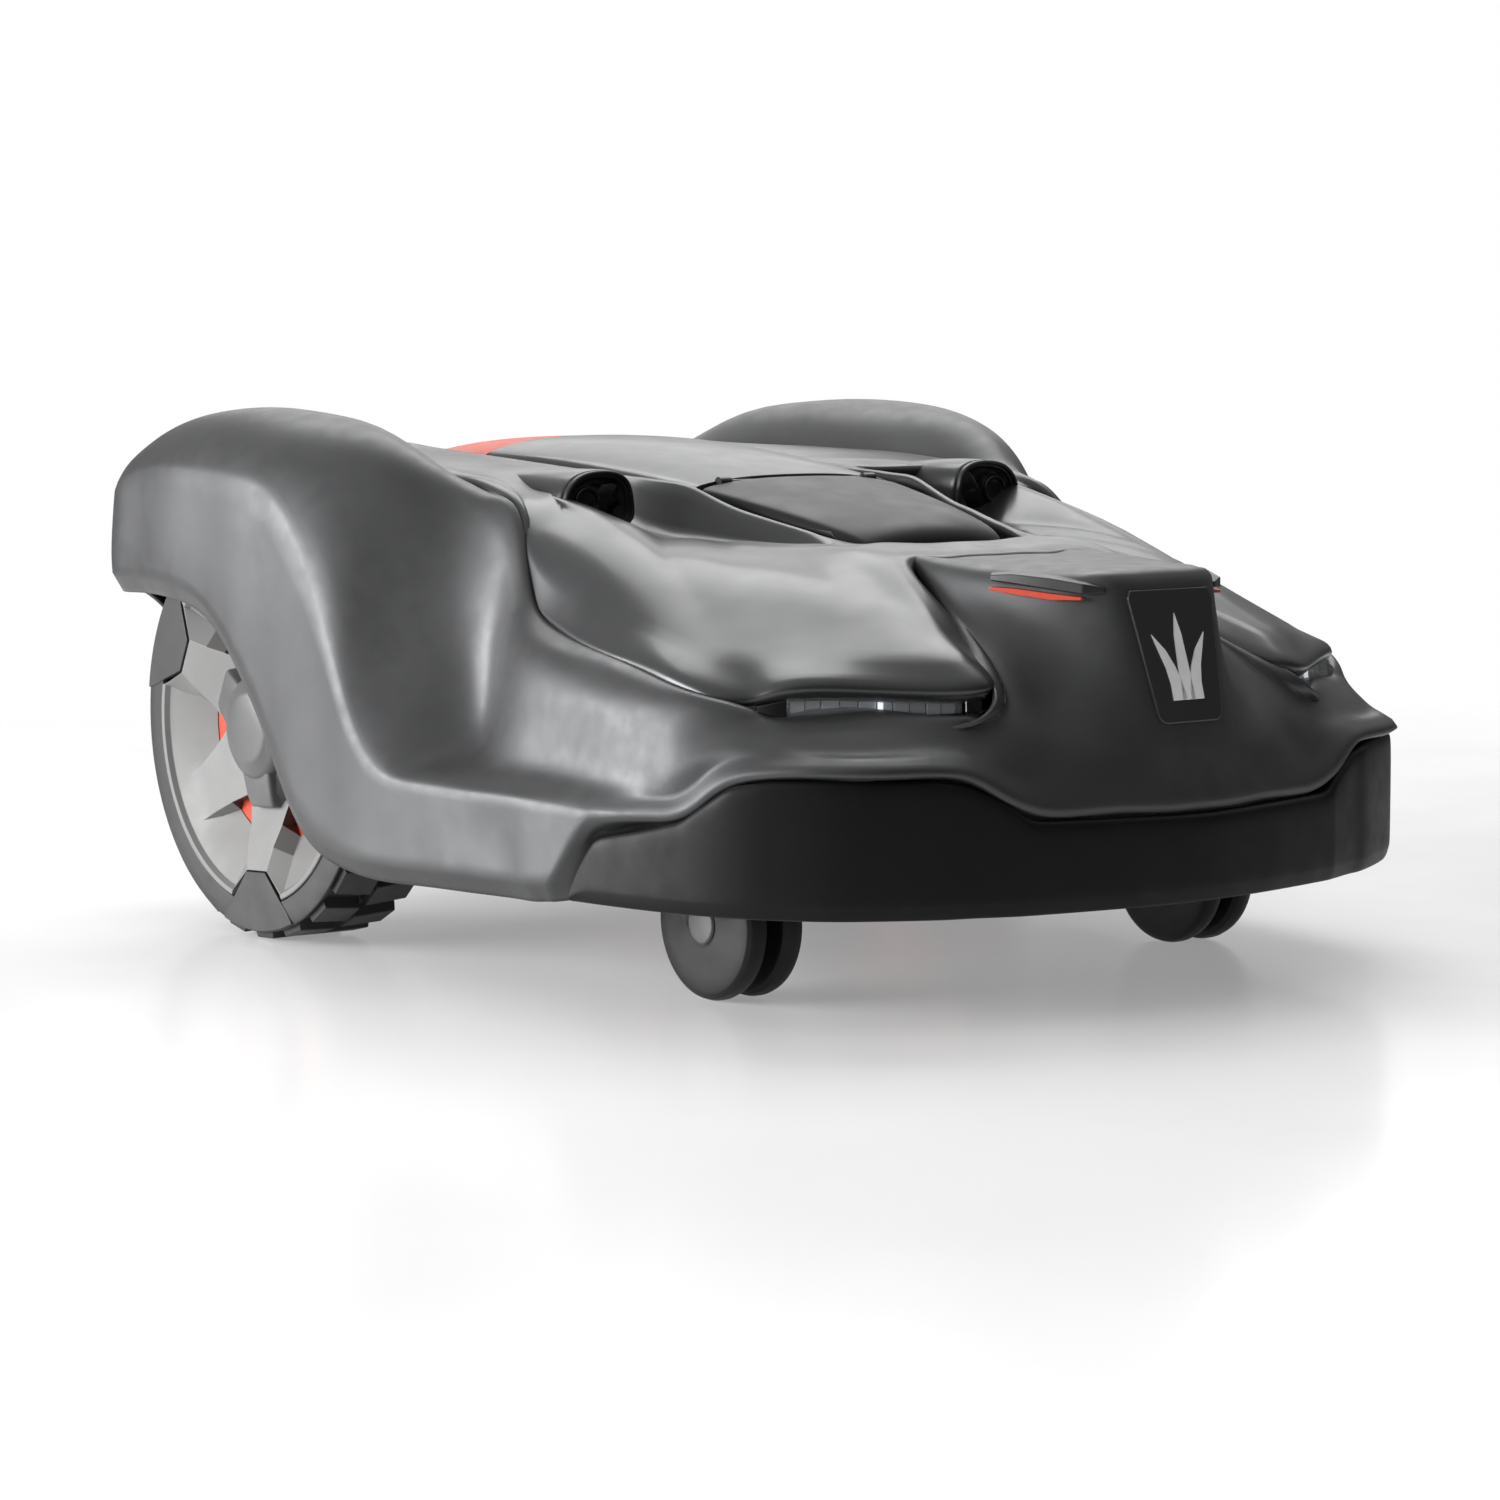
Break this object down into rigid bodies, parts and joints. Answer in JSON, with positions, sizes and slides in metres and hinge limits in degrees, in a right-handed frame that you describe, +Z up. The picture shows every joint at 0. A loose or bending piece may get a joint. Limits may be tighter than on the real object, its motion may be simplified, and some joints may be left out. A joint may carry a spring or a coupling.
{
  "type": "robotic lawn mower",
  "caption": "Four-wheeled robotic lawn mower: floating grey shell with fenders, lamps and rubber bumper over a chassis with driven rear wheels, twin casters and a height-adjustable blade disc.",
  "frame": {"origin": "on the ground under the middle of the machine's bounding box", "axes": "+Z up, -Y to the front of the machine, +X to the machine's left side"},
  "size_m": [0.5604, 0.72, 0.31],
  "materials": {
    "body_grey": "fine-grained moulded plastic",
    "cover_grey": "satin metallic grey moulding",
    "hatch_grey": "light satin grey moulding",
    "black_rubber": "smooth black rubber",
    "tyre_rubber": "tyre rubber, worn dull",
    "dark_plastic": "dark grey moulded plastic",
    "black_gloss": "gloss black plastic",
    "wheel_silver": "silver painted plastic",
    "hub_grey": "mid grey plastic",
    "signal_orange": "red-orange plastic",
    "clear_lens": "clear polycarbonate",
    "mirror_finish": "metallised reflector",
    "steel": "bright steel",
    "motor_metal": "die-cast aluminium",
    "bush_plastic": "natural acetal",
    "board_green": "solder-masked circuit board",
    "battery_blue": "dark battery casing",
    "key_grey": "light grey keys",
    "display_glass": "dark display window",
    "badge_white": "plain white emblem"
  },
  "bodies": {
    "chassis": {"chassis_tub": "dark_plastic", "upper_chassis": "dark_plastic", "chassis_seal": "black_rubber", "battery_pack": "battery_blue", "main_circuit_board": "board_green", "display_panel": "display_glass", "keypad_panel": "dark_plastic", "wheel_motor_left": "motor_metal", "wheel_motor_right": "motor_metal", "caster_bushes": "bush_plastic", "post_bases": "black_rubber", "hatch_pin": "steel", "chassis_screws": "steel", "height_motor": "dark_plastic", "front_fascia": "body_grey"},
    "lead_screw": {"height_screw": "steel"},
    "carriage": {"cutter_carriage": "dark_plastic", "cutter_motor": "motor_metal"},
    "cutter": {"blade_disc": "signal_orange", "cutter_shaft": "steel", "blade_screws": "steel"},
    "first_blade": {"blade_1": "steel"},
    "second_blade": {"blade_2": "steel"},
    "third_blade": {"blade_3": "steel"},
    "skid": {"skid_plate": "dark_plastic", "skid_bearing": "steel"},
    "left_caster": {"caster_fork_left": "dark_plastic"},
    "right_caster": {"caster_fork_right": "dark_plastic"},
    "left_caster_wheel": {"caster_wheel_left": "tyre_rubber"},
    "right_caster_wheel": {"caster_wheel_right": "tyre_rubber"},
    "left_wheel": {"tyre_left": "tyre_rubber", "wheel_cover_left": "wheel_silver", "brake_disc_left": "signal_orange", "hub_cap_left": "hub_grey", "wheel_axle_left": "steel"},
    "right_wheel": {"tyre_right": "tyre_rubber", "wheel_cover_right": "wheel_silver", "brake_disc_right": "signal_orange", "hub_cap_right": "hub_grey", "wheel_axle_right": "steel"},
    "float_stems": {"post_stems": "black_rubber"},
    "float_heads": {"post_heads": "steel"},
    "shell": {"body_shell": "body_grey", "top_cover": "cover_grey", "bumper": "black_rubber", "headlamp_lenses": "clear_lens", "headlamp_reflectors": "mirror_finish", "nose_plate": "badge_white", "contact_hoods": "black_gloss", "contact_strips": "signal_orange", "sensor_housings": "dark_plastic", "sensor_transducers": "black_gloss", "cover_sockets": "dark_plastic"},
    "hatch_lid": {"hatch": "hatch_grey"},
    "stop": {"stop_button": "signal_orange"},
    "up_key": {"key_up": "key_grey"},
    "down_key": {"key_down": "key_grey"},
    "ok_key": {"key_ok": "key_grey"},
    "back_key": {"key_back": "key_grey"},
    "start_key": {"key_start": "key_grey"}
  },
  "joints": [
    {"name": "left_wheel_spin", "type": "hinge", "parent": "chassis", "child": "left_wheel", "pos_m": [0.235, 0.172, 0.125], "axis": [1, 0, 0], "continuous": true},
    {"name": "right_wheel_spin", "type": "hinge", "parent": "chassis", "child": "right_wheel", "pos_m": [-0.235, 0.172, 0.125], "axis": [1, 0, 0], "continuous": true},
    {"name": "left_caster_swivel", "type": "hinge", "parent": "chassis", "child": "left_caster", "pos_m": [0.168, -0.19, 0.106], "axis": [0, 0, 1], "continuous": true},
    {"name": "left_caster_roll", "type": "hinge", "parent": "left_caster", "child": "left_caster_wheel", "pos_m": [0.168, -0.168, 0.042], "axis": [1, 0, 0], "continuous": true},
    {"name": "right_caster_swivel", "type": "hinge", "parent": "chassis", "child": "right_caster", "pos_m": [-0.168, -0.19, 0.106], "axis": [0, 0, 1], "continuous": true},
    {"name": "right_caster_roll", "type": "hinge", "parent": "right_caster", "child": "right_caster_wheel", "pos_m": [-0.168, -0.168, 0.042], "axis": [1, 0, 0], "continuous": true},
    {"name": "cutting_height", "type": "slide", "parent": "chassis", "child": "carriage", "axis": [0, 0, 1], "range_m": [-0.04, 0]},
    {"name": "height_screw_turn", "type": "hinge", "parent": "chassis", "child": "lead_screw", "pos_m": [0, 0.062, 0.15], "axis": [0, 0, 1], "continuous": true},
    {"name": "disc_spin", "type": "hinge", "parent": "carriage", "child": "cutter", "pos_m": [0, -0.02, 0.062], "axis": [0, 0, 1], "continuous": true},
    {"name": "first_blade_pivot", "type": "hinge", "parent": "cutter", "child": "first_blade", "pos_m": [0.092, -0.02, 0.058], "axis": [0, 0, 1], "continuous": true},
    {"name": "second_blade_pivot", "type": "hinge", "parent": "cutter", "child": "second_blade", "pos_m": [-0.046, 0.05967, 0.058], "axis": [0, 0, 1], "continuous": true},
    {"name": "third_blade_pivot", "type": "hinge", "parent": "cutter", "child": "third_blade", "pos_m": [-0.046, -0.09967, 0.058], "axis": [0, 0, 1], "continuous": true},
    {"name": "skid_plate_spin", "type": "hinge", "parent": "cutter", "child": "skid", "pos_m": [0, -0.02, 0.052], "axis": [0, 0, 1], "continuous": true},
    {"name": "shell_float_long", "type": "slide", "parent": "chassis", "child": "float_stems", "axis": [0, 1, 0], "range_m": [-0.005, 0.005], "stiffness_N_per_m": 3000},
    {"name": "shell_float_wide", "type": "slide", "parent": "float_stems", "child": "float_heads", "axis": [1, 0, 0], "range_m": [-0.004, 0.004], "stiffness_N_per_m": 3000},
    {"name": "shell_lift", "type": "slide", "parent": "float_heads", "child": "shell", "axis": [0, 0, 1], "range_m": [0, 0.01]},
    {"name": "hatch_hinge", "type": "hinge", "parent": "chassis", "child": "hatch_lid", "pos_m": [0, -0.012, 0.27], "axis": [1, 0, 0], "range_deg": [0, 80]},
    {"name": "stop_press", "type": "slide", "parent": "chassis", "child": "stop", "axis": [0, 0, -1], "range_m": [0, 0.006], "stiffness_N_per_m": 1000, "springref_m": -0.003},
    {"name": "up_key_press", "type": "slide", "parent": "chassis", "child": "up_key", "axis": [0, 0, -1], "range_m": [0, 0.0012], "stiffness_N_per_m": 400, "springref_m": -0.001},
    {"name": "down_key_press", "type": "slide", "parent": "chassis", "child": "down_key", "axis": [0, 0, -1], "range_m": [0, 0.0012], "stiffness_N_per_m": 400, "springref_m": -0.001},
    {"name": "ok_key_press", "type": "slide", "parent": "chassis", "child": "ok_key", "axis": [0, 0, -1], "range_m": [0, 0.0012], "stiffness_N_per_m": 400, "springref_m": -0.001},
    {"name": "back_key_press", "type": "slide", "parent": "chassis", "child": "back_key", "axis": [0, 0, -1], "range_m": [0, 0.0012], "stiffness_N_per_m": 400, "springref_m": -0.001},
    {"name": "start_key_press", "type": "slide", "parent": "chassis", "child": "start_key", "axis": [0, 0, -1], "range_m": [0, 0.0012], "stiffness_N_per_m": 400, "springref_m": -0.001}
  ],
  "couplings": [
    {"joint": "height_screw_turn", "follows": "cutting_height", "rad_per_m": 785.4}
  ]
}
